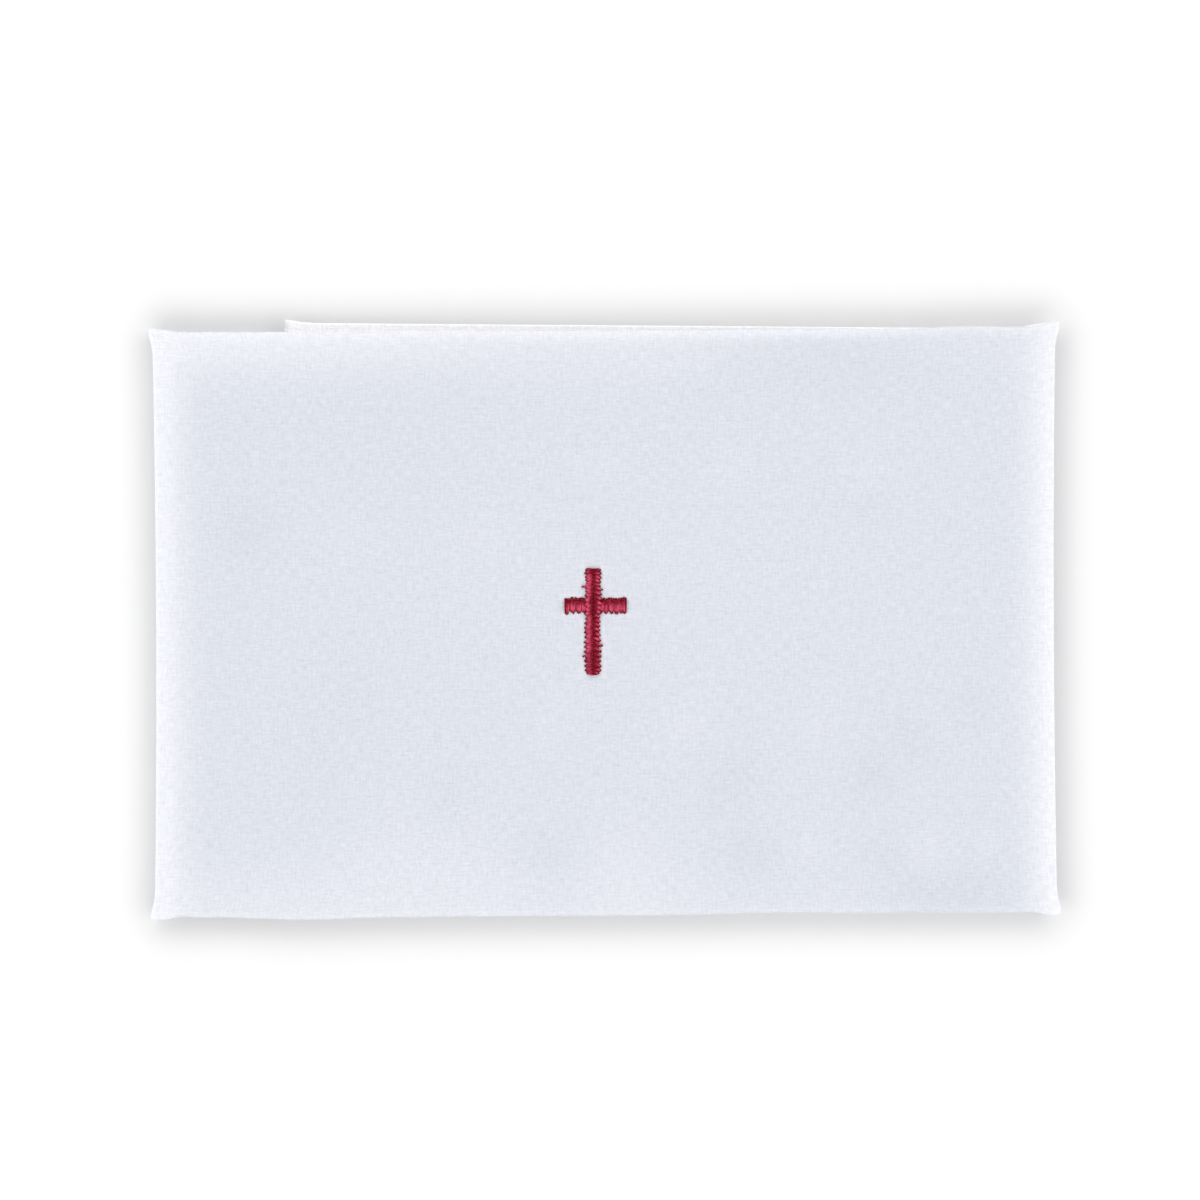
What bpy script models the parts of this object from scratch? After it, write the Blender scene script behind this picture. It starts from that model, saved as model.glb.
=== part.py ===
"""Purificator: a white altar cloth folded in nine, with a small red cross embroidered on its face.

The cloth is first pressed in thirds along its length, which makes a strip of three plies. The strip is
then folded in thirds across: its right-hand third goes under the middle one, and its left-hand third
goes under both. The strip is modelled as one sheet, as thick as its three plies, folded back and forth.

Units are metres. +X runs along the folded cloth, +Y across it towards its far side, +Z is up. The origin
lies under the middle of the folded cloth, on the surface that it rests on.
"""

import math

import bmesh
import bpy
from mathutils import Matrix, Vector

MM = 0.001

# The strip and how its three layers lie on each other
STRIP_THICK = 1.0 * MM  # three plies pressed together
LAYER_GAP = 0.3 * MM  # air between one layer of the strip and the next
RIM_ROUND = 0.4 * MM  # rounding of the strip's long edges, which are folded plies, and of its hems
CROWN = 0.45 * MM  # how far the middle of the face stands above its folds
CROWN_REACH = 24 * MM  # from an edge to where the face has nearly all of its crown
FOLD_INSET = 2.2 * MM  # the crown begins this far in from the left and right folds
POCKET_SAG = 0.35 * MM  # how far the face sinks to the left of the under flap's end

# The face's four edges, in millimetres from its middle, without the ears at the corners.
# An edge runs from its first end to its second: near to far on the left and right, left to right on
# the near and far sides. The bow is how far its middle is drawn in.
EDGES = {
    # edge: (first end, second end, bow, ear at first end, ear at second end)
    "left": (-76.0, -76.35, 0.30, 0.65, 0.60),
    "right": (76.4, 76.05, 0.35, 0.60, 0.70),
    "near": (-49.95, -49.1, 0.10, 0.60, 0.50),
    "far": (48.8, 49.9, 0.25, 0.45, 0.70),
}
EAR_REACH = 3.2 * MM  # distance from a corner over which its ear dies away

# Small swellings of the near and far edges, where the plies inside aren't quite even
SWELLS = (
    # edge, place along X (mm), half length (mm), outwards (mm)
    ("near", -51.0, 9.0, 0.35),
    ("near", -66.0, 5.0, -0.15),
    ("near", 30.0, 9.0, 0.15),
    ("near", 51.0, 7.0, -0.25),
    ("far", -22.0, 16.0, 0.12),
    ("far", 48.0, 8.0, -0.15),
)

# The under flap, which is the strip's right-hand third, and the bottom layer, its left-hand third
FLAP_END = -54.1 * MM  # the flap's hemmed end
FLAP_FAR_AT_END = 50.52 * MM  # the flap lies askew and shows beyond the face's far edge
FLAP_FAR_AT_FOLD = 49.55 * MM
FLAP_NEAR = -48.6 * MM
FLAP_EAR = 0.5 * MM
BOTTOM_END = 73.0 * MM  # the bottom layer's hemmed end
BOTTOM_FAR = 49.1 * MM
BOTTOM_NEAR = -48.7 * MM
FOLD_BLEND = 16 * MM  # from a fold to where a layer has its own run

# Soft ripples of the face, higher or lower than the crown
RIPPLES = (
    # x (mm), y (mm), half length (mm), half width (mm), turn (degrees), rise (mm)
    (-32.0, -42.0, 8.0, 7.0, 80, 0.16),
    (-8.5, -40.0, 9.0, 5.0, 70, -0.14),
    (4.5, -42.5, 9.0, 7.0, 85, 0.18),
    (25.5, -40.0, 8.0, 5.0, 75, -0.14),
    (34.0, -38.0, 8.0, 5.0, 75, 0.12),
    (47.0, -40.0, 8.0, 5.0, 80, -0.14),
    (56.0, -38.0, 7.0, 5.0, 80, 0.12),
    (65.0, -46.0, 8.0, 4.0, 60, -0.16),
    (51.5, -18.5, 8.0, 3.5, -49, -0.14),
    (36.5, -18.5, 10.0, 5.0, 75, 0.10),
    (13.0, -18.0, 10.0, 5.0, 75, 0.10),
)

# The embroidered cross
CROSS_X = -1.8 * MM
CROSS_Y = -0.2 * MM
CROSS_TALL = 17.9 * MM
CROSS_WIDE = 10.7 * MM
CROSS_BAR = 2.7 * MM
ARMS_ABOVE_MIDDLE = 2.7 * MM  # the arms' middle line, above the upright's middle
CROSS_THICK = 0.6 * MM
CROSS_LUMP = 0.15 * MM  # the stitches pile up where the bars meet
CROSS_ROUND = 0.25 * MM
CROSS_GAP = 0.3 * MM  # from the face to the underside of the stitches

# How finely the sheet is divided
FACE_COLUMNS = 30
UNDER_COLUMNS = 10
FOLD_STEPS = 7
ROWS = 18
EDGE_CROWDING = 0.55  # 0 spaces the rows and columns evenly, 1 crowds them towards the edges

MID_BOTTOM = STRIP_THICK / 2
MID_FLAP = MID_BOTTOM + STRIP_THICK + LAYER_GAP
MID_FACE = MID_FLAP + STRIP_THICK + LAYER_GAP
LEFT_FOLD_RADIUS = (MID_FACE - MID_BOTTOM) / 2
RIGHT_FOLD_RADIUS = (MID_FACE - MID_FLAP) / 2
HALF_LONG = 76.2 * MM
HALF_WIDE = 49.4 * MM


def blend(low, high, share):
    return low + (high - low) * share


def smooth(share):
    share = min(1.0, max(0.0, share))
    return share * share * (3 - 2 * share)


def bell(distance, reach):
    return math.exp(-((distance / reach) ** 2))


def spaced(count):
    """Shares from 0 to 1, closer together towards both ends."""
    even = [step / count for step in range(count + 1)]
    return [blend(t, (1 - math.cos(math.pi * t)) / 2, EDGE_CROWDING) for t in even]


def edge_at(edge, share):
    """How far the face's edge lies from the middle line, at a share of the way along it."""
    first, second, bow, first_ear, second_ear = (value * MM for value in EDGES[edge])
    length = 2 * (HALF_WIDE if edge in ("left", "right") else HALF_LONG)
    outwards = -1 if edge in ("left", "near") else 1
    ears = first_ear * bell(share * length, EAR_REACH) + second_ear * bell((1 - share) * length, EAR_REACH)
    along = blend(-length / 2, length / 2, share)
    swell = sum(
        out * MM * bell(along - place * MM, half * MM)
        for name, place, half, out in SWELLS
        if name == edge
    )
    drawn_in = bow * 4 * share * (1 - share)
    return blend(first, second, share) + outwards * (ears + swell - drawn_in)


def ripple_at(x, y):
    """Height that the soft ripples add at a place on the face."""
    height = 0.0
    for place_x, place_y, half_length, half_width, turn, rise in RIPPLES:
        angle = math.radians(turn)
        dx = x - place_x * MM
        dy = y - place_y * MM
        along = (dx * math.cos(angle) + dy * math.sin(angle)) / (half_length * MM)
        across = (dy * math.cos(angle) - dx * math.sin(angle)) / (half_width * MM)
        height += rise * MM * math.exp(-(along * along + across * across))
    return height


def face_lift(x, y):
    """How far the face stands above the level of its folds, at a place."""
    to_side = max(0.0, HALF_LONG - FOLD_INSET - abs(x)) / CROWN_REACH
    to_long_edge = max(0.0, HALF_WIDE - abs(y)) / CROWN_REACH
    fullness = math.tanh(1.6 * to_side) * math.tanh(1.6 * to_long_edge)
    pocket = smooth((FLAP_END - x) / (10 * MM)) * smooth((x + HALF_LONG - FOLD_INSET) / (12 * MM))
    return CROWN * fullness + ripple_at(x, y) * fullness ** 0.5 - POCKET_SAG * pocket


def face_point(along, across):
    """A point of the face's middle surface. along runs from the left fold to the right one."""
    left = edge_at("left", across) + LEFT_FOLD_RADIUS + STRIP_THICK / 2
    right = edge_at("right", across) - RIGHT_FOLD_RADIUS - STRIP_THICK / 2
    x = blend(left, right, along)
    y = blend(edge_at("near", along), edge_at("far", along), across)
    return Vector((x, y, MID_FACE + face_lift(x, y)))


def under_point(start, end, near, far_at_fold, far_at_end, ear, along, across):
    """A point of a layer under the face, which runs from a fold at start to its own hemmed end."""
    x = blend(start.x, end, along)
    own = smooth(abs(x - start.x) / FOLD_BLEND)
    out = ear * bell((1 - along) * abs(end - start.x), EAR_REACH)
    y = blend(near - out, blend(far_at_fold, far_at_end, along) + out, across)
    return Vector((x, blend(start.y, y, own), start.z))


def sheet_row(across):
    """The strip's middle line at one place across it, from the flap's end to the bottom layer's end."""
    face = [face_point(along, across) for along in spaced(FACE_COLUMNS)]
    right_axis = face[-1] - Vector((0, 0, RIGHT_FOLD_RADIUS))
    left_axis = face[0] - Vector((0, 0, LEFT_FOLD_RADIUS))
    right_fold = []
    left_fold = []
    for step in range(1, FOLD_STEPS + 1):
        angle = math.pi * step / FOLD_STEPS
        out = math.sin(angle)
        up = math.cos(angle)
        right_fold.append(right_axis + RIGHT_FOLD_RADIUS * Vector((out, 0, up)))
        left_fold.append(left_axis + LEFT_FOLD_RADIUS * Vector((-out, 0, up)))
    shares = spaced(UNDER_COLUMNS)[1:]
    flap = [
        under_point(
            right_fold[-1], FLAP_END, FLAP_NEAR, FLAP_FAR_AT_FOLD, FLAP_FAR_AT_END, FLAP_EAR, along, across
        )
        for along in shares
    ]
    bottom = [
        under_point(left_fold[-1], BOTTOM_END, BOTTOM_NEAR, BOTTOM_FAR, BOTTOM_FAR, 0, along, across)
        for along in shares
    ]
    return flap[::-1] + right_fold[::-1] + face[::-1] + left_fold + bottom


def object_from(name, bm, material, bevel_width, bevel_segments):
    mesh = bpy.data.meshes.new(name)
    bm.to_mesh(mesh)
    bm.free()
    made = bpy.data.objects.new(name, mesh)
    bpy.context.collection.objects.link(made)
    made.data.materials.append(material)
    bevel = made.modifiers.new("edge_rounding", "BEVEL")
    bevel.width = bevel_width
    bevel.segments = bevel_segments
    bevel.limit_method = "ANGLE"
    bevel.angle_limit = math.radians(50)
    mesh.shade_smooth()
    return made


def plain_material(name, colour, roughness):
    material = bpy.data.materials.new(name)
    material.use_nodes = True
    shader = material.node_tree.nodes["Principled BSDF"]
    shader.inputs["Base Color"].default_value = (*colour, 1)
    shader.inputs["Roughness"].default_value = roughness
    shader.inputs["Metallic"].default_value = 0
    return material


def make_cloth():
    """The folded strip: its middle surface, given its thickness both ways and rounded at its rim."""
    bm = bmesh.new()
    rows = [[bm.verts.new(point) for point in sheet_row(across)] for across in spaced(ROWS)]
    for near, far in zip(rows, rows[1:]):
        for column in range(len(near) - 1):
            bm.faces.new((near[column], far[column], far[column + 1], near[column + 1]))
    bmesh.ops.recalc_face_normals(bm, faces=bm.faces)
    cloth = object_from(
        "purificator_cloth", bm, plain_material("white_cloth", (0.80, 0.81, 0.85), 0.9), RIM_ROUND, 2
    )
    thickness = cloth.modifiers.new("ply_thickness", "SOLIDIFY")
    thickness.thickness = STRIP_THICK
    thickness.offset = 0
    thickness.use_even_offset = True
    cloth.modifiers.move(1, 0)
    return cloth


def cross_cells():
    """The cross's square cells, as the corners of each, from the bars' own sizes."""
    half_bar = CROSS_BAR / 2
    foot = -CROSS_TALL / 2
    head = CROSS_TALL / 2
    arms = ARMS_ABOVE_MIDDLE
    below = [blend(foot, arms - half_bar, share / 3) for share in range(4)]
    above = [arms + half_bar, head]
    upright = below + above
    columns = [-CROSS_WIDE / 2, -half_bar, half_bar, CROSS_WIDE / 2]
    cells = [(columns[1], low, columns[2], high) for low, high in zip(upright, upright[1:])]
    cells += [(columns[side], arms - half_bar, columns[side + 1], arms + half_bar) for side in (0, 2)]
    return cells


def make_cross():
    """The embroidery: one low pad that follows the face, a little thicker where its bars meet."""
    bm = bmesh.new()
    for left, low, right, high in cross_cells():
        cell = []
        for across, up in ((left, low), (right, low), (right, high), (left, high)):
            x = CROSS_X + across
            y = CROSS_Y + up
            level = MID_FACE + STRIP_THICK / 2 + face_lift(x, y) + CROSS_GAP
            cell.append(bm.verts.new((x, y, level)))
        bm.faces.new(cell)
    bmesh.ops.remove_doubles(bm, verts=bm.verts, dist=0.001 * MM)
    raised = bmesh.ops.extrude_face_region(bm, geom=list(bm.faces))
    for vert in (item for item in raised["geom"] if isinstance(item, bmesh.types.BMVert)):
        from_crossing = (vert.co.xy - Vector((CROSS_X, CROSS_Y + ARMS_ABOVE_MIDDLE))).length
        vert.co.z += CROSS_THICK + CROSS_LUMP * bell(from_crossing, CROSS_BAR)
    bmesh.ops.recalc_face_normals(bm, faces=bm.faces)
    return object_from(
        "embroidered_cross", bm, plain_material("red_thread", (0.42, 0.01, 0.03), 0.45), CROSS_ROUND, 2
    )


def stand_on_origin(cloth, others):
    """Moves the meshes so that the middle of the cloth's box is at X = Y = 0."""
    corners = [vert.co for vert in cloth.data.vertices]
    middle = [(min(c[i] for c in corners) + max(c[i] for c in corners)) / 2 for i in (0, 1)]
    for piece in (cloth, *others):
        piece.data.transform(Matrix.Translation((-middle[0], -middle[1], 0)))


for old in list(bpy.data.objects):
    bpy.data.objects.remove(old, do_unlink=True)
cloth = make_cloth()
cross = make_cross()
stand_on_origin(cloth, [cross])
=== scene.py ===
import math
import random

import bmesh
import bpy
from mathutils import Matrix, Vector


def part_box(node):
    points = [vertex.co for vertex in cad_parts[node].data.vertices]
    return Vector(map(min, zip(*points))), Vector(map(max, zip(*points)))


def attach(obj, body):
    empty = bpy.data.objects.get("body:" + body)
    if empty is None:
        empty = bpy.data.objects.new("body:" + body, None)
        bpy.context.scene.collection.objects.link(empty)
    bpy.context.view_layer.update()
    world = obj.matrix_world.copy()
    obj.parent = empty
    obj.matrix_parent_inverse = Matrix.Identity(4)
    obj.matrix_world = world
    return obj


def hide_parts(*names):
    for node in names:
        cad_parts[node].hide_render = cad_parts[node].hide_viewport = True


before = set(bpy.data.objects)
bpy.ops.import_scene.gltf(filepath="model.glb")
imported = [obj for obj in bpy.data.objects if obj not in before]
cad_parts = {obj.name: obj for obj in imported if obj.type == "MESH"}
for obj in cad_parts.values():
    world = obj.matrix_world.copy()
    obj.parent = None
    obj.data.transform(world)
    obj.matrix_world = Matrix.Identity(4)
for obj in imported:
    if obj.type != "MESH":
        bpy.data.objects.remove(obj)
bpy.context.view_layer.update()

# The cloth is one piece of white plain-woven linen, hemmed all round and pressed. It is folded in thirds
# along its length, the far third under first, into a strip of three plies. The strip is folded in
# thirds too: its right-hand end is tucked under first, and its left-hand end is wrapped under both.

mm = 0.001
cloth_thick = 0.26 * mm
hem_thick = 0.32 * mm
hem_wide = 5 * mm
ply_step = 0.34 * mm  # from one ply of the strip to the next
strip_half = ply_step + cloth_thick / 2
layer_step = 1.30 * mm  # from one layer of the folded strip to the next
bottom_level = 0.50 * mm
flap_level = bottom_level + layer_step
face_level = flap_level + layer_step
left_radius = (face_level - bottom_level) / 2
right_radius = (face_level - flap_level) / 2
half_long = 76.2 * mm
half_wide = 49.4 * mm

# The face's edges, in mm from its middle, without the ears at the corners
face_edges = {
    # edge: (first end, second end, drawn in at the middle, ear at first end, ear at second end)
    "left": (-76.1, -76.55, 0.43, 0.65, 0.60),
    "right": (76.65, 76.3, 0.42, 0.60, 0.70),
    "near": (-50.25, -49.1, -0.05, 0.24, 0.50),
    "far": (48.9, 49.9, 0.25, 0.45, 0.70),
}
ear_reach = 2.3 * mm
edge_swells = (
    # edge, place along X (mm), half length (mm), outwards (mm)
    ("near", -72.6, 2.0, -0.32),
    ("near", -66.0, 5.0, -0.12),
    ("near", -51.0, 9.0, 0.35),
    ("near", 30.0, 12.0, -0.25),
    ("near", 51.0, 7.0, -0.10),
    ("far", -22.0, 16.0, 0.12),
    ("far", 48.0, 8.0, -0.15),
    ("far", 61.0, 5.0, 0.20),
)

# The edges of the two layers under the face, and how far from a fold they part from the face's edges
flap_end = -54.1 * mm
flap_far_at_end = 50.52 * mm
flap_far_at_fold = 49.55 * mm
flap_near = -48.6 * mm
flap_ear = 0.5 * mm
bottom_end = 73.0 * mm
bottom_far = 49.1 * mm
bottom_near = -48.7 * mm
fold_blend = 8 * mm

# The face is a little crowned, with soft ripples, and sags where no flap lies under it
crown = 0.45 * mm
crown_reach = 24 * mm
crown_steepness = 1.6
fold_inset = 2.2 * mm
pocket_sag = 0.35 * mm
pocket_slope_at_flap = 10 * mm
pocket_slope_at_fold = 12 * mm
face_ripples = (
    # x (mm), y (mm), half length (mm), half width (mm), turn (degrees), rise (mm)
    (-32.0, -42.0, 8.0, 7.0, 80, 0.16),
    (-8.5, -40.0, 9.0, 5.0, 70, -0.14),
    (4.5, -42.5, 9.0, 7.0, 85, 0.18),
    (25.5, -40.0, 8.0, 5.0, 75, -0.14),
    (34.0, -38.0, 8.0, 5.0, 75, 0.12),
    (47.0, -40.0, 8.0, 5.0, 80, -0.14),
    (56.0, -38.0, 7.0, 5.0, 80, 0.12),
    (65.0, -46.0, 8.0, 4.0, 60, -0.16),
    (51.5, -18.5, 8.0, 3.5, -49, -0.14),
    (36.5, -18.5, 10.0, 5.0, 75, 0.10),
    (13.0, -18.0, 10.0, 5.0, 75, 0.10),
)

# How finely the sheet is divided along and across the strip
face_columns = 110
under_columns = 44
fold_steps = 12
face_rows = 72
under_rows = 26
edge_fold_steps = 8


def between(low, high, share):
    return low + (high - low) * share


def ease(share):
    share = min(1.0, max(0.0, share))
    return share * share * (3 - 2 * share)


def hump(distance, reach):
    return math.exp(-((distance / reach) ** 2))


def oval(x, y, place_x, place_y, half_length, half_width, turn):
    """A soft oval hump, 1 at its middle, with its sizes in mm."""
    angle = math.radians(turn)
    dx = x - place_x * mm
    dy = y - place_y * mm
    along = (dx * math.cos(angle) + dy * math.sin(angle)) / (half_length * mm)
    across = (dy * math.cos(angle) - dx * math.sin(angle)) / (half_width * mm)
    return math.exp(-(along * along + across * across))


def spaced(count):
    """Shares from 0 to 1, closer together towards both ends."""
    crowding = 0.55
    even = [step / count for step in range(count + 1)]
    return [between(t, (1 - math.cos(math.pi * t)) / 2, crowding) for t in even]


def face_edge(side, share):
    """How far an edge of the face lies from its middle, at a share of the way along it."""
    first, second, drawn_in, first_ear, second_ear = (value * mm for value in face_edges[side])
    length = 2 * (half_wide if side in ("left", "right") else half_long)
    outwards = -1 if side in ("left", "near") else 1
    ears = first_ear * hump(share * length, ear_reach) + second_ear * hump((1 - share) * length, ear_reach)
    along = between(-length / 2, length / 2, share)
    swell = sum(
        out * mm * hump(along - place * mm, half * mm)
        for name, place, half, out in edge_swells
        if name == side
    )
    return between(first, second, share) + outwards * (ears + swell - drawn_in * 4 * share * (1 - share))


def face_relief(x, y):
    """How far the face stands above the level of its folds."""
    to_side = max(0.0, half_long - fold_inset - abs(x)) / crown_reach
    to_long_edge = max(0.0, half_wide - abs(y)) / crown_reach
    fullness = math.tanh(crown_steepness * to_side) * math.tanh(crown_steepness * to_long_edge)
    height = crown * fullness
    for *ripple, rise in face_ripples:
        height += rise * mm * oval(x, y, *ripple) * fullness ** 0.5
    past_flap = ease((flap_end - x) / pocket_slope_at_flap)
    past_fold = ease((x + half_long - fold_inset) / pocket_slope_at_fold)
    return height - pocket_sag * past_flap * past_fold


def long_edges(run, share):
    """The near and far edges of one run of the strip, at a share of the way along it."""
    if run == "face":
        return face_edge("near", share), face_edge("far", share)
    if run in ("left fold", "right fold"):
        end = 0 if run == "left fold" else 1
        return face_edge("near", end), face_edge("far", end)
    if run == "flap":
        length = half_long - flap_end
        near, far = flap_near, between(flap_far_at_fold, flap_far_at_end, share)
        ear, end = flap_ear, 1
    else:
        length = half_long + bottom_end
        near, far = bottom_near, bottom_far
        ear, end = 0, 0
    own = ease(share * length / fold_blend)
    out = ear * hump((1 - share) * length, ear_reach)
    return (
        between(face_edge("near", end), near - out, own),
        between(face_edge("far", end), far + out, own),
    )


def strip_point(run, share, across, aside, outward):
    """A point of the strip. share is the way along its run, across the way from its near edge to its far
    one, aside how far past that edge, and outward the height from its middle ply."""
    left_axis = face_edge("left", across) + left_radius + strip_half
    right_axis = face_edge("right", across) - right_radius - strip_half
    near, far = long_edges(run, share)
    y = between(near + strip_half, far - ply_step / 2 - cloth_thick / 2, across) + aside
    if run == "face":
        x = between(left_axis, right_axis, share)
        return Vector((x, y, face_level + face_relief(x, y) + outward))
    if run == "flap":
        return Vector((between(right_axis, flap_end, share), y, flap_level - outward))
    if run == "bottom":
        return Vector((between(left_axis, bottom_end, share), y, bottom_level - outward))
    angle = math.pi * share
    if run == "right fold":
        reach = right_radius + outward
        x = right_axis + reach * math.sin(angle)
        return Vector((x, y, face_level - right_radius + reach * math.cos(angle)))
    reach = left_radius + outward
    x = left_axis - reach * math.sin(angle)
    return Vector((x, y, face_level - left_radius + reach * math.cos(angle)))


def strip_columns():
    """Where the strip is divided along its length, from the flap's hem to the bottom layer's hem."""
    steps = [step / fold_steps for step in range(1, fold_steps)]
    columns = [("flap", share) for share in reversed(spaced(under_columns))]
    columns += [("right fold", share) for share in reversed(steps)]
    columns += [("face", share) for share in reversed(spaced(face_columns))]
    columns += [("left fold", share) for share in steps]
    columns += [("bottom", share) for share in spaced(under_columns)]
    return columns


def strip_rows():
    """Where the cloth is divided across the strip: (across, aside, outward), from the hem of the ply in
    the middle of the strip, round the far fold, over the top ply and round the near fold. The two hems lie
    a little short of the folds, at these shares of the strip's width."""
    inner_hem = 0.015
    outer_hem = 0.988
    far_radius = ply_step / 2
    turns = [math.pi * step / edge_fold_steps for step in range(1, edge_fold_steps)]
    rows = [(between(inner_hem, 1, share), 0, 0) for share in spaced(under_rows)]
    rows += [
        (1, far_radius * math.sin(turn), far_radius * (1 - math.cos(turn))) for turn in turns
    ]
    rows += [(1 - share, 0, ply_step) for share in spaced(face_rows)]
    rows += [(0, -ply_step * math.sin(turn), ply_step * math.cos(turn)) for turn in turns]
    rows += [(share * outer_hem, 0, -ply_step) for share in spaced(under_rows)]
    return rows


# Painted light: how much paler the cloth is painted near its long edges, for the light those edges catch.
# Worked out from grey levels measured at places along the edges in the photograph, and rounded
long_edge_bands = (
    # x (mm), near edge: paler by, reach (mm), far edge: paler by, reach (mm), its rim: paler by, reach (mm)
    (-76, 0.30, 7, 0.66, 7, 0.80, 1.2),
    (-50, 0.28, 9, 0.58, 6.5, 0.78, 1.2),
    (-34, 0.29, 15, 0.50, 6, 0.76, 1.2),
    (-20, 0.25, 13, 0.40, 6, 0.76, 1.2),
    (-8, 0.14, 9, 0.25, 7.5, 0.76, 1.6),
    (3, 0.30, 14, 0.25, 7.5, 0.76, 1.6),
    (22, 0.09, 6, 0.09, 4.5, 0.80, 1.5),
    (40, 0.11, 6, 0.00, 4, 0.75, 1.3),
    (58, -0.05, 7, 0.08, 9, 0.50, 1.2),
    (76, 0.10, 5, 0.15, 8, 0.50, 1.2),
)
# Painted light and painted shade in soft patches on the face, for the shading of its soft ripples: paler
# where paler by is above 0, darker below it. The places were picked in a blurred copy of the photograph, and
# the amounts follow its grey levels
soft_patches = (
    # x (mm), y (mm), half length (mm), half width (mm), turn (degrees), paler by
    (34, -38, 4, 3.5, 0, 0.10),
    (54.5, -38.5, 4, 3.5, 0, 0.13),
    (13.5, -17.5, 5.5, 3, 60, 0.10),
    (-8, -16.5, 5, 3, 60, 0.08),
    (36.5, -16.5, 5.5, 3, 60, 0.08),
    (21.5, 25.5, 3.5, 3.5, 0, 0.10),
    (0, 26.5, 4, 2.5, 0, 0.08),
    (44, 24.5, 3.5, 3.5, 0, 0.08),
    (14.5, 43.5, 10, 3, 0, 0.08),
    (-44, 14.5, 6, 5, 0, 0.06),
    (-20, 14.5, 5, 5, 0, 0.06),
    (65, -37.5, 2.2, 1.3, 80, 0.18),
    (65, -46.5, 2.4, 1.3, 90, 0.18),
    (0, 8, 40, 10, 0, 0.03),
    (-60.5, 15.5, 5, 5, 0, -0.13),
    (21.5, -27, 5.5, 4, 60, -0.13),
    (45.5, -26, 4.5, 4, 60, -0.15),
    (51.5, -19.5, 6, 2.2, -45, -0.15),
    (24.5, -39, 5, 4, 0, -0.12),
    (48, -39.5, 4, 4, 0, -0.10),
    (53.5, -45.5, 6, 3, 0, -0.12),
    (64.5, -46, 5, 4, 0, -0.18),
    (-10, -39.5, 5, 4, 0, -0.11),
    (-26.5, -29.5, 5, 3.5, 80, -0.09),
    (62, -13.5, 5, 3, 90, -0.09),
    (-49, -25, 8, 5, 90, -0.05),
    (44, 19.5, 4, 3, 0, -0.08),
    (-43, -13.5, 8, 8, 0, -0.05),
    (40.5, 42.5, 20, 5, 0, -0.08),
    (-38, 29.5, 18, 10, 0, -0.04),
)
# Painted light: the rims of the folds, and the flap's strip, are painted the palest of all
fold_pale = 0.90
left_pale_reach = 4.7 * mm
right_pale_reach = 4.4 * mm
fold_rim_pale = 0.4
fold_rim_reach = 0.9 * mm
near_rim_pale = 0.25
near_rim_reach = 0.8 * mm
flap_pale_at_face = 1.70
flap_pale_at_edge = 1.80
flap_strip = 0.7 * mm
flap_pale_reach = 6 * mm
# Painted shade: below the outline, where the cloth faces the table, it is painted darker
under_rim = -0.35
under_rim_height = 1.0 * mm


def bands_at(x):
    """The row of long_edge_bands for a place along the face, between the rows on either side of it."""
    x = min(long_edge_bands[-1][0], max(long_edge_bands[0][0], x / mm))
    for first, second in zip(long_edge_bands, long_edge_bands[1:]):
        if x <= second[0]:
            share = (x - first[0]) / (second[0] - first[0])
            return [between(a, b, share) for a, b in zip(first[1:], second[1:])]


def painted_light_and_shade_at(place, run):
    """How much painted light (paler) and painted shade (darker) the cloth's colour carries against its
    middle, which is 0: light towards its folds, edges and the flap's strip, shade under its outline, and soft
    patches of both.
    """
    if run == "bottom":
        return 0.0
    x, y, z = place
    across = min(1.0, max(0.0, (y + half_wide) / (2 * half_wide)))
    along = min(1.0, max(0.0, (x + half_long) / (2 * half_long)))
    left = max(0.0, x - face_edge("left", across))
    right = max(0.0, face_edge("right", across) - x)
    near = max(0.0, y - face_edge("near", along))
    far = max(0.0, face_edge("far", along) - y)
    near_pale, near_reach, far_pale, far_reach, rim_pale, rim_reach = bands_at(x)
    # Painted light towards the left and right folds and along the long edges
    dull = (1 - fold_pale * hump(left, left_pale_reach)) * (1 - fold_pale * hump(right, right_pale_reach))
    dull *= 1 - near_pale * hump(near, near_reach * mm)
    dull *= 1 - far_pale * hump(far, far_reach * mm)
    dull *= 1 - rim_pale * hump(far, rim_reach * mm)
    # Painted highlights along the rims of the folds and the near edge
    rims = fold_rim_pale * hump(min(left, right), fold_rim_reach) + near_rim_pale * hump(near, near_rim_reach)
    white = 1 - dull + rims
    if run == "flap":
        # Painted light on the flap's strip, which lies a step below the face's edge
        past_face = max(0.0, y - face_edge("far", along))
        strip = between(flap_pale_at_face, flap_pale_at_edge, ease(past_face / flap_strip))
        return max(white, strip * hump(far, flap_pale_reach))
    if run == "face":
        # Painted light and painted shade in soft patches on the face
        white += sum(pale * oval(x, y, *patch) for *patch, pale in soft_patches)
    # Painted shade below the outline, where the cloth faces the table
    silhouette = left_radius + bottom_level if x < 0 else face_level - right_radius
    lit = ease((z - silhouette) / under_rim_height + 1.0)
    return between(under_rim, white, lit)


def run_lengths(points):
    """How far along a line each of its points lies."""
    lengths = [0.0]
    for before, after in zip(points, points[1:]):
        lengths.append(lengths[-1] + (after - before).length)
    return lengths


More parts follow.
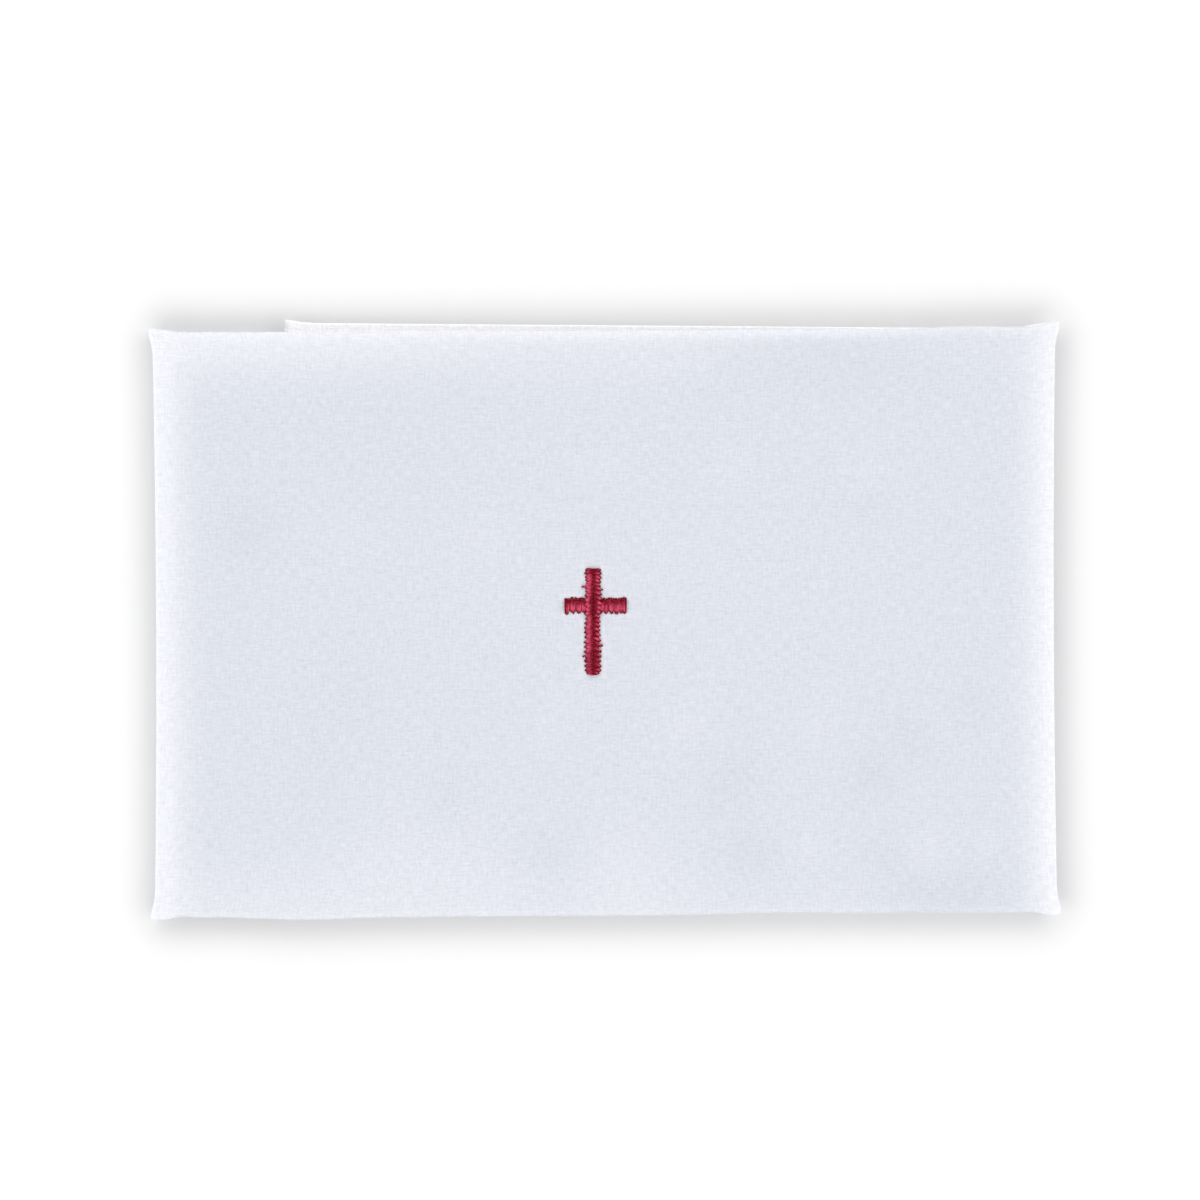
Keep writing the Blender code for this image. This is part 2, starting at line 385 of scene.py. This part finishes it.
def make_cloth():
    columns = strip_columns()
    rows = strip_rows()
    along = run_lengths([strip_point(run, share, 0.5, 0, 0) for run, share in columns])
    over = run_lengths([strip_point("face", 0.5, *row) for row in rows])
    bm = bmesh.new()
    flat_place = bm.verts.layers.float_vector.new("flat_place")
    # Painted light and painted shade for the cloth's colour, kept on each point
    painted_light_and_shade = bm.verts.layers.float.new("painted_light_and_shade")
    hem = bm.verts.layers.deform.verify()
    grid = []
    for row, v in zip(rows, over):
        line = []
        for (run, share), u in zip(columns, along):
            vert = bm.verts.new(strip_point(run, share, *row))
            vert[flat_place] = Vector((u, v, 0)) / mm
            vert[painted_light_and_shade] = painted_light_and_shade_at(vert.co, run)
            to_hem = min(u, along[-1] - u, v, over[-1] - v)
            vert[hem][0] = 1.0 if to_hem < hem_wide else 0.0
            line.append(vert)
        grid.append(line)
    for upper, lower in zip(grid, grid[1:]):
        for column in range(len(columns) - 1):
            bm.faces.new((upper[column], lower[column], lower[column + 1], upper[column + 1]))
    top = grid[under_rows + edge_fold_steps + face_rows // 2][under_columns + fold_steps + face_columns // 2]
    bm.normal_update()
    if top.normal.z < 0:
        bmesh.ops.reverse_faces(bm, faces=bm.faces)
    mesh = bpy.data.meshes.new("folded_cloth")
    bm.to_mesh(mesh)
    bm.free()
    mesh.shade_smooth()
    made = bpy.data.objects.new("folded_cloth", mesh)
    bpy.context.collection.objects.link(made)
    made.vertex_groups.new(name="hem")
    thickness = made.modifiers.new("thickness", "SOLIDIFY")
    thickness.thickness = hem_thick
    thickness.offset = 0
    thickness.use_even_offset = True
    thickness.vertex_group = "hem"
    thickness.thickness_vertex_group = cloth_thick / hem_thick
    return made, along[-1], over[-1]


def seat_on_solid(piece, node):
    """Moves the piece's points so that its box has the same middle as its solid's, seen from above."""
    low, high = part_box(node)
    corners = [vert.co for vert in piece.data.vertices]
    shift = Vector((0, 0, 0))
    for axis in (0, 1):
        own = (min(c[axis] for c in corners) + max(c[axis] for c in corners)) / 2
        shift[axis] = (low[axis] + high[axis]) / 2 - own
    for vert in piece.data.vertices:
        vert.co += shift
    return shift


def cloth_material(long_cut, wide_cut):
    """Bleached linen: threads of uneven weight both ways, cool white, matte with a faint nap. A line of
    stitches runs along inside the hems. Painted light and shade lie in its colour, with a painted pale halo
    close to the cross."""
    # Sizes in mm
    thread_pitch = 0.39
    seam_in = 4.5  # from the cut edges
    seam_half_wide = 0.16
    half_stitch = 1.1
    half_stitch_gap = 0.35
    thread_relief = 0.035
    uneven_relief = 0.06
    stitch_relief = 0.10
    # The cross's bars in mm, for a painted pale halo round the cross that lifts the shade the stitches cast
    cross_bars = (
        # middle x, middle y, half width, half height
        (0, 0, 1.35, 8.85),
        (0.4, 2.65, 5.2, 1.25),
    )
    painted_halo_reach = 1.0
    # Shares of tone
    slub_share = 0.03
    contrast = 0.16
    mean_uneven = 1.03
    halo_paler = 0.5
    stitches_paler = 0.4
    material = bpy.data.materials.new("bleached_linen")
    material.use_nodes = True
    nodes = material.node_tree.nodes
    links = material.node_tree.links
    shader = nodes["Principled BSDF"]
    place = nodes.new("ShaderNodeAttribute")
    place.attribute_name = "flat_place"
    split = nodes.new("ShaderNodeSeparateXYZ")
    links.new(place.outputs["Vector"], split.inputs[0])

    def maths(operation, first, second=None):
        node = nodes.new("ShaderNodeMath")
        node.operation = operation
        for socket, value in zip(node.inputs, (first, second)):
            if value is None:
                continue
            if isinstance(value, (int, float)):
                socket.default_value = value
            else:
                links.new(value, socket)
        return node.outputs[0]

    def streaks(across_mm, along_mm, along_x):
        """Noise drawn out along the threads of one way."""
        sizes = (1 / along_mm, 1 / across_mm) if along_x else (1 / across_mm, 1 / along_mm)
        stretch = nodes.new("ShaderNodeVectorMath")
        stretch.operation = "MULTIPLY"
        stretch.inputs[1].default_value = (*sizes, 1)
        links.new(place.outputs["Vector"], stretch.inputs[0])
        noise = nodes.new("ShaderNodeTexNoise")
        noise.noise_dimensions = "2D"
        noise.inputs["Scale"].default_value = 1
        noise.inputs["Detail"].default_value = 1
        noise.inputs["Roughness"].default_value = 0.5
        links.new(stretch.outputs[0], noise.inputs["Vector"])
        return noise.outputs["Fac"]

    # The weave: each way's threads go over and under the other way's by turns
    turn = math.pi / thread_pitch
    u = maths("MULTIPLY", split.outputs["X"], turn)
    v = maths("MULTIPLY", split.outputs["Y"], turn)
    weave = maths("MULTIPLY", maths("SINE", u), maths("SINE", v))
    warp = maths("ABSOLUTE", maths("SINE", u))
    weft = maths("ABSOLUTE", maths("SINE", v))
    over_under = maths("MULTIPLY_ADD", weave, 0.5)
    over_under.node.inputs[2].default_value = 0.5
    threads = maths("ADD", maths("MULTIPLY", warp, 0.3), maths("MULTIPLY", weft, 0.3))
    woven = maths("ADD", maths("MULTIPLY", over_under, 0.6), threads)

    slubs = maths("ADD", streaks(1.0, 7, False), streaks(1.1, 7, True))
    fine = maths("ADD", streaks(0.34, 1.5, False), streaks(0.34, 1.6, True))
    uneven = maths("ADD", maths("MULTIPLY", slubs, slub_share), fine)

    # The hems' stitches, along all four sides
    from_end = maths("MINIMUM", split.outputs["X"], maths("SUBTRACT", long_cut / mm, split.outputs["X"]))
    from_side = maths("MINIMUM", split.outputs["Y"], maths("SUBTRACT", wide_cut / mm, split.outputs["Y"]))
    seam_line = maths("COMPARE", maths("MINIMUM", from_end, from_side), seam_in)
    seam_line.node.inputs[2].default_value = seam_half_wide
    along_stitch = maths("PINGPONG", maths("ADD", split.outputs["X"], split.outputs["Y"]), half_stitch)
    stitches = maths("MULTIPLY", seam_line, maths("GREATER_THAN", along_stitch, half_stitch_gap))

    woven_height = maths("MULTIPLY", woven, thread_relief)
    uneven_height = maths("MULTIPLY", uneven, uneven_relief)
    cloth_height = maths("ADD", woven_height, uneven_height)
    height = maths("ADD", cloth_height, maths("MULTIPLY", stitches, stitch_relief))
    bump = nodes.new("ShaderNodeBump")
    bump.inputs["Strength"].default_value = 0.8
    bump.inputs["Distance"].default_value = 1 * mm
    links.new(height, bump.inputs["Height"])
    links.new(bump.outputs[0], shader.inputs["Normal"])

    # The cloth's colour carries painted light and painted shade and a painted pale halo close to the cross,
    # and is paler along the hems' stitches
    painted_light_and_shade = nodes.new("ShaderNodeAttribute")
    painted_light_and_shade.attribute_name = "painted_light_and_shade"
    painted_light_and_stitch_mix = nodes.new("ShaderNodeMix")
    painted_light_and_stitch_mix.data_type = "RGBA"
    painted_light_and_stitch_mix.clamp_factor = False
    # A is the cloth's own colour; the mix towards B and past it is painted light, and back past A painted
    # shade
    painted_light_and_stitch_mix.inputs["A"].default_value = (0.600, 0.620, 0.678, 1)
    painted_light_and_stitch_mix.inputs["B"].default_value = (0.763, 0.768, 0.812, 1)
    spot = nodes.new("ShaderNodeTexCoord")
    spot_split = nodes.new("ShaderNodeSeparateXYZ")
    links.new(spot.outputs["Object"], spot_split.inputs[0])
    bars = []
    for bar_x, bar_y, half_bar_wide, half_bar_tall in cross_bars:
        off_x = maths("ABSOLUTE", maths("SUBTRACT", spot_split.outputs["X"], cross_x + bar_x * mm))
        off_y = maths("ABSOLUTE", maths("SUBTRACT", spot_split.outputs["Y"], cross_y + bar_y * mm))
        past_x = maths("SUBTRACT", off_x, half_bar_wide * mm)
        bars.append(maths("MAXIMUM", past_x, maths("SUBTRACT", off_y, half_bar_tall * mm)))
    # The painted pale halo: paler within reach of the cross's bars
    off_cross = maths("DIVIDE", maths("MINIMUM", *bars), painted_halo_reach * mm)
    painted_halo = maths("SUBTRACT", 1, off_cross)
    painted_halo.node.use_clamp = True
    painted_paleness = maths("ADD", painted_light_and_shade.outputs["Fac"], maths("MULTIPLY", painted_halo, halo_paler))
    links.new(maths("ADD", painted_paleness, maths("MULTIPLY", stitches, stitches_paler)), painted_light_and_stitch_mix.inputs["Factor"])
    tone = maths("MULTIPLY_ADD", uneven, contrast)
    tone.node.inputs[2].default_value = 1 - mean_uneven * contrast
    shaded = nodes.new("ShaderNodeVectorMath")
    shaded.operation = "SCALE"
    links.new(painted_light_and_stitch_mix.outputs["Result"], shaded.inputs[0])
    links.new(tone, shaded.inputs["Scale"])
    links.new(shaded.outputs[0], shader.inputs["Base Color"])
    shader.inputs["Roughness"].default_value = 0.9
    shader.inputs["Specular IOR Level"].default_value = 0.2
    shader.inputs["Sheen Weight"].default_value = 0.06
    shader.inputs["Sheen Roughness"].default_value = 0.5
    return material


cloth, cut_long, cut_wide = make_cloth()
shift = seat_on_solid(cloth, "purificator_cloth")
# The cross's middle on the cloth, a hair beside its solid's
cross_aside = Vector((-0.12, 0.16)) * mm
cross_low, cross_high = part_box("embroidered_cross")
cross_x = (cross_low.x + cross_high.x) / 2 + cross_aside.x
cross_y = (cross_low.y + cross_high.y) / 2 + cross_aside.y
cloth.data.materials.append(cloth_material(cut_long, cut_wide))
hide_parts("purificator_cloth")
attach(cloth, "root")

# The cross is worked by machine in red stranded thread, straight through the cloth. Its arms are satin
# stitch, and its upright is two rows of slanting stitches that meet in a seam down the middle.

thread_wide = 0.38 * mm
thread_high = 0.26 * mm
padding_wide = 0.66 * mm
upright_top = 8.72  # mm from the cross's middle
upright_foot = -8.85
seam_x = 0.06
# The needle's holes along the upright's two edges, in mm: (height, distance from the middle). They and
# the arms' holes were read from an enlargement of the photograph
left_holes = (
    (8.66, 1.36),
    (8.10, 1.50),
    (7.45, 1.38),
    (6.90, 1.32),
    (6.30, 1.20),
    (5.74, 1.98),
    (5.00, 1.34),
    (4.25, 1.48),
    (3.45, 1.54),
    (2.65, 1.54),
    (1.90, 1.52),
    (1.15, 1.52),
    (0.35, 1.34),
    (-0.40, 1.48),
    (-1.15, 1.52),
    (-1.95, 1.56),
    (-2.75, 1.50),
    (-3.60, 1.58),
    (-4.40, 1.56),
    (-5.20, 1.62),
    (-6.00, 1.84),
    (-6.75, 1.54),
    (-7.60, 1.50),
    (-8.35, 1.44),
    (-8.80, 1.15),
)
right_holes = (
    (8.64, 1.36),
    (8.05, 1.48),
    (7.30, 1.46),
    (6.60, 1.36),
    (5.90, 1.28),
    (5.28, 1.66),
    (4.45, 1.50),
    (3.65, 1.62),
    (2.85, 1.68),
    (2.10, 1.60),
    (1.35, 1.44),
    (0.60, 1.20),
    (-0.10, 1.26),
    (-0.85, 1.24),
    (-1.60, 1.22),
    (-2.45, 1.28),
    (-3.30, 1.34),
    (-4.15, 1.66),
    (-5.10, 1.46),
    (-5.95, 1.44),
    (-6.80, 1.38),
    (-7.65, 1.44),
    (-8.35, 1.40),
    (-8.80, 1.10),
)
# The holes at the arms' feet, in mm: (place along the arm, foot, top)
left_arm_holes = (
    (-4.42, 1.10, 3.90),
    (-3.40, 1.26, 4.04),
    (-2.42, 1.24, 3.98),
    (-1.50, 1.34, 3.98),
)
right_arm_holes = (
    (1.40, 1.34, 3.96),
    (2.20, 1.24, 3.94),
    (3.10, 1.18, 3.98),
    (4.00, 1.12, 3.92),
    (4.80, 1.30, 4.00),
    (5.30, 1.24, 4.08),
)


def face_top(x, y):
    """The level of the cloth's upper side on its face, at a place in the frame."""
    return face_level + face_relief(x - shift.x, y - shift.y) + strip_half


def on_cross(x, y, above=0.0):
    """A place given in mm from the cross's middle and above the cloth."""
    place_x = cross_x + x * mm
    place_y = cross_y + y * mm
    return Vector((place_x, place_y, face_top(place_x, place_y) + above * mm))


def add_thread(bm, layers, start, end, rise, light, lit_at, lit_reach, wide):
    """One pass of the thread from start to end, arched over the cloth and drawn in at both holes. Its colour
    carries a painted highlight around the share lit_at of its way, and painted shade where it goes down at
    its end."""
    sides = 8
    steps = 12
    end_dark = 0.25  # share of its way
    drawn_in = 0.6  # share of its width, at the holes
    direction = (end - start).normalized()
    sideways = Vector((-direction.y, direction.x, 0)).normalized()
    shade, strand = layers
    length = (end - start).length
    rings = []
    for step in range(steps + 1):
        t = step / steps
        arch = math.sin(math.pi * t) ** 0.55 if 0 < t < 1 else 0.0
        middle = between(start, end, t) + Vector((0, 0, rise * mm * arch))
        width = wide * between(drawn_in, 1, arch)
        ring = []
        for side in range(sides):
            angle = 2 * math.pi * side / sides
            offset = sideways * (width / 2 * math.cos(angle))
            offset += Vector((0, 0, thread_high / 2 * math.sin(angle)))
            vert = bm.verts.new(middle + offset)
            # Painted highlight and painted shade for the thread's colour, kept on each point
            vert[shade] = light * hump(t - lit_at, lit_reach) * ease((1 - t) / end_dark)
            vert[strand] = Vector((t * length / mm, side / sides, 0))
            ring.append(vert)
        rings.append(ring)
    for before, after in zip(rings, rings[1:]):
        for side in range(sides):
            following = (side + 1) % sides
            bm.faces.new((before[side], before[following], after[following], after[side]))
    bm.faces.new(list(reversed(rings[0])))
    bm.faces.new(rings[-1])


def make_cross():
    draw = random.Random(7)
    bm = bmesh.new()
    layers = (bm.verts.layers.float.new("thread_painted_light_and_shade"), bm.verts.layers.float_vector.new("thread_place"))

    # Threads laid along each bar first, which pad it and fill between the stitches
    padding_rise = 0.12
    for x in (-0.7, -0.25, 0.25, 0.7):
        foot = on_cross(x, -8.75, 0.1)
        top = on_cross(x, 8.65, 0.1)
        add_thread(
            bm, layers, foot, top, padding_rise, light=0.12, lit_at=0.5, lit_reach=1, wide=padding_wide
        )
    for y in (1.95, 2.4, 2.9, 3.4):
        left = on_cross(-4.7, y, 0.05)
        right = on_cross(5.1, y, 0.05)
        add_thread(
            bm, layers, left, right, padding_rise, light=0.15, lit_at=0.5, lit_reach=1, wide=padding_wide
        )

    # The arms: passes up and down, three to a hole at the foot, so that the foot has teeth. They slant a
    # little at the right-hand end. Their colour carries painted shade at both ends, where they turn down, and
    # towards the arms' tips, and painted highlights of random strength, strongest on the left arm.
    foot_step = 0.20
    top_step = 0.33
    tooth = 0.14
    arm_rise = 0.36
    left_dark_end = -4.9
    right_dark_end = 5.75
    for holes in (left_arm_holes, right_arm_holes):
        for x, low, high in holes:
            for part in (-1, 0, 1):
                shake = draw.uniform(-0.08, 0.08)
                foot_y = low + tooth * abs(part) + draw.uniform(-0.05, 0.05)
                foot = on_cross(x + foot_step * part + shake, foot_y)
                slant = 0.12 * ease((x - 3.6) / 1.8)
                top_x = x + top_step * part
                top = on_cross(top_x - slant - shake, high + draw.uniform(-0.07, 0.07))
                # Painted highlight of random strength, stronger on the left arm, and painted shade towards
                # the arms' tips
                light = draw.uniform(0.35, 1.0) + 0.35 * hump(x + 3.2, 1.2)
                light *= ease(min(top_x - left_dark_end, right_dark_end - top_x) / 0.6)
                rise = arm_rise + draw.uniform(-0.05, 0.05)
                add_thread(bm, layers, top, foot, rise, light, lit_at=0.72, lit_reach=0.30, wide=thread_wide)

    # The upright: two rows of passes that slant down from the seam, three to a hole along the edge. They
    # slant less at the top and the foot, and make a lump where they cross the arms. Their colour carries
    # painted shade at the top and the foot, and painted highlights along the left row, on the middle pass of
    # each three in the right row, and on the lump.
    lump_middle = 3.0
    lump_reach = 1.7
    lump_light = 0.35
    lump_height = 0.30
    lump_rise = 0.36
    seam_level = 0.12
    upright_rise = 0.30
    seam_step = 0.29
    rim_step = 0.15
    longest_beside = 1.6  # of the two passes beside a hole's middle one
    # Painted highlights: on the right the middle pass of three is painted lightest
    right_lights = (0.0, 1.3, 0.3)  # on the right the middle pass of three lies on top
    for side, holes in ((-1, left_holes), (1, right_holes)):
        for height, reach in holes:
            rise_to_seam = between(0.62, 0.12, ease((height - 6.0) / 2.2)) * ease((height + 9.2) / 1.6)
            for part in (-1, 0, 1):
                lump = hump(height + rise_to_seam - lump_middle, lump_reach)
                seam_height = height + rise_to_seam + seam_step * part + draw.uniform(-0.03, 0.03)
                seam_height = min(upright_top, seam_height)
                out = min(reach, longest_beside) if part else reach
                rim_height = height + rim_step * part + draw.uniform(-0.02, 0.02)
                if side < 0:
                    light = draw.uniform(0.5, 1.05)
                else:
                    light = right_lights[part + 1] * draw.uniform(0.6, 1.0)
                # Painted highlight on the lump
                light += lump_light * lump
                # Painted shade towards the foot and the top
                light *= (1 - 0.5 * ease((-4.5 - height) / 2.5)) * (1 - 0.8 * ease((height - 7.6) / 0.8))
                seam_aside = side * draw.uniform(-0.22, -0.02)
                seam = on_cross(seam_x + seam_aside, seam_height, seam_level + lump_height * lump)
                out -= draw.uniform(0.12, 0.28) * abs(part)
                rim = on_cross(side * out, max(upright_foot, rim_height))
                rise = upright_rise + lump_rise * lump + draw.uniform(-0.06, 0.06)
                lit_at = 0.62 + 0.14 * lump + draw.uniform(-0.07, 0.05)
                lit_reach = 0.27 - 0.07 * lump
                add_thread(bm, layers, seam, rim, rise, light, lit_at, lit_reach, thread_wide)
    bmesh.ops.recalc_face_normals(bm, faces=bm.faces)
    mesh = bpy.data.meshes.new("cross_stitches")
    bm.to_mesh(mesh)
    bm.free()
    mesh.shade_smooth()
    made = bpy.data.objects.new("cross_stitches", mesh)
    bpy.context.collection.objects.link(made)
    return made


def thread_material():
    """Red stranded thread: silky. Its colour carries painted shade where it goes down into the cloth and
    painted highlights where it lies on top.
    """
    fleck_size = 0.30 * mm
    fleck_contrast = 1.1
    fleck_middle = -0.56
    winding_length = 0.9  # mm
    strands_seen = 2  # round the thread
    material = bpy.data.materials.new("red_stranded_thread")
    material.use_nodes = True
    nodes = material.node_tree.nodes
    links = material.node_tree.links
    shader = nodes["Principled BSDF"]
    shade = nodes.new("ShaderNodeAttribute")
    shade.attribute_name = "thread_painted_light_and_shade"
    # The mix runs from a dark red for painted shade to a pinkish red for painted highlights, with flecks of
    # random tone
    colours = nodes.new("ShaderNodeMix")
    colours.data_type = "RGBA"
    colours.inputs["A"].default_value = (0.158, 0.002, 0.010, 1)
    colours.inputs["B"].default_value = (0.64, 0.080, 0.155, 1)
    spot = nodes.new("ShaderNodeTexCoord")
    flecks = nodes.new("ShaderNodeTexNoise")
    flecks.inputs["Scale"].default_value = 1 / fleck_size
    flecks.inputs["Detail"].default_value = 2
    flecks.inputs["Roughness"].default_value = 0.6
    links.new(spot.outputs["Object"], flecks.inputs["Vector"])
    flecked = nodes.new("ShaderNodeMath")
    flecked.operation = "MULTIPLY_ADD"
    flecked.inputs[1].default_value = fleck_contrast
    flecked.inputs[2].default_value = fleck_middle
    links.new(flecks.outputs["Fac"], flecked.inputs[0])
    lightness = nodes.new("ShaderNodeMath")
    lightness.operation = "ADD"
    lightness.use_clamp = True
    links.new(shade.outputs["Fac"], lightness.inputs[0])
    links.new(flecked.outputs[0], lightness.inputs[1])
    links.new(lightness.outputs[0], colours.inputs["Factor"])
    links.new(colours.outputs["Result"], shader.inputs["Base Color"])

    # The strands wind round the thread
    place = nodes.new("ShaderNodeAttribute")
    place.attribute_name = "thread_place"
    parts = nodes.new("ShaderNodeSeparateXYZ")
    links.new(place.outputs["Vector"], parts.inputs[0])
    wound = nodes.new("ShaderNodeMath")
    wound.operation = "MULTIPLY_ADD"
    wound.inputs[1].default_value = 2 * math.pi / winding_length
    links.new(parts.outputs["X"], wound.inputs[0])
    turn = nodes.new("ShaderNodeMath")
    turn.operation = "MULTIPLY"
    turn.inputs[1].default_value = strands_seen * 2 * math.pi
    links.new(parts.outputs["Y"], turn.inputs[0])
    links.new(turn.outputs[0], wound.inputs[2])
    wave = nodes.new("ShaderNodeMath")
    wave.operation = "SINE"
    links.new(wound.outputs[0], wave.inputs[0])
    bump = nodes.new("ShaderNodeBump")
    bump.inputs["Strength"].default_value = 0.6
    bump.inputs["Distance"].default_value = 0.04 * mm
    links.new(wave.outputs[0], bump.inputs["Height"])
    links.new(bump.outputs[0], shader.inputs["Normal"])
    shader.inputs["Roughness"].default_value = 0.5
    shader.inputs["Specular IOR Level"].default_value = 0.04
    shader.inputs["Sheen Weight"].default_value = 0.01
    shader.inputs["Sheen Roughness"].default_value = 0.4
    shader.inputs["Sheen Tint"].default_value = (1.0, 0.35, 0.45, 1)
    return material


cross = make_cross()
cross.data.materials.append(thread_material())
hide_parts("embroidered_cross")
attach(cross, "root")

# The floor is a plain white table top. The light is soft and comes from all round, more from the sides
# than from above, so that the folds' rounded edges catch it.

floor_half = 4  # metres
floor_mesh = bpy.data.meshes.new("floor")
floor_bm = bmesh.new()
bmesh.ops.create_grid(floor_bm, x_segments=1, y_segments=1, size=floor_half)
floor_bm.to_mesh(floor_mesh)
floor_bm.free()
floor = bpy.data.objects.new("floor", floor_mesh)
bpy.context.collection.objects.link(floor)
floor_material = bpy.data.materials.new("white_table")
floor_material.use_nodes = True
floor_shader = floor_material.node_tree.nodes["Principled BSDF"]
floor_shader.inputs["Base Color"].default_value = (0.812, 0.812, 0.812, 1)
floor_shader.inputs["Roughness"].default_value = 1
floor_shader.inputs["Specular IOR Level"].default_value = 0
floor_mesh.materials.append(floor_material)

world = bpy.data.worlds.new("soft_studio")
bpy.context.scene.world = world
world.use_nodes = True
sky = world.node_tree.nodes["Background"]
direction = world.node_tree.nodes.new("ShaderNodeTexCoord")
level = world.node_tree.nodes.new("ShaderNodeSeparateXYZ")
ring = world.node_tree.nodes.new("ShaderNodeValToRGB")
world.node_tree.links.new(direction.outputs["Generated"], level.inputs[0])
world.node_tree.links.new(level.outputs["Z"], ring.inputs["Fac"])
world.node_tree.links.new(ring.outputs["Color"], sky.inputs["Color"])
# These follow a least-squares fit to the shadows in the photograph, rounded and filled in
sky_by_height = (
    # sine of the height above the horizon, brightness
    (0.00, 0.18),
    (0.20, 0.18),
    (0.28, 0.45),
    (0.40, 0.88),
    (0.48, 1.00),
    (0.62, 0.70),
    (0.76, 0.27),
    (0.88, 0.05),
    (1.00, 0.03),
)
while len(ring.color_ramp.elements) < len(sky_by_height):
    ring.color_ramp.elements.new(1.0)
for element, (height, bright) in zip(ring.color_ramp.elements, sky_by_height):
    element.position = height
    element.color = (bright, bright, bright, 1)
sky.inputs["Strength"].default_value = 3.11

# The camera looks straight down on the face from well above, so that nothing is foreshortened.

picture = 1200  # pixels
pixel = 0.169 * mm  # on the face
face_middle_x = 604.4  # pixels from the picture's left side
face_middle_y = 621.3  # pixels from its top
camera_height = 1.2  # metres above the face
film_wide = 36  # mm, as is the lens's length
camera_data = bpy.data.cameras.new("camera")
camera = bpy.data.objects.new("camera", camera_data)
bpy.context.collection.objects.link(camera)
camera.location = (
    shift.x + (picture / 2 - face_middle_x) * pixel,
    shift.y + (face_middle_y - picture / 2) * pixel,
    face_top(0, 0) + camera_height,
)
camera_data.sensor_width = film_wide
camera_data.lens = film_wide * camera_height / (picture * pixel)
camera_data.clip_start = 0.1
camera_data.clip_end = 20
bpy.context.scene.camera = camera
bpy.context.scene.view_settings.view_transform = "Standard"
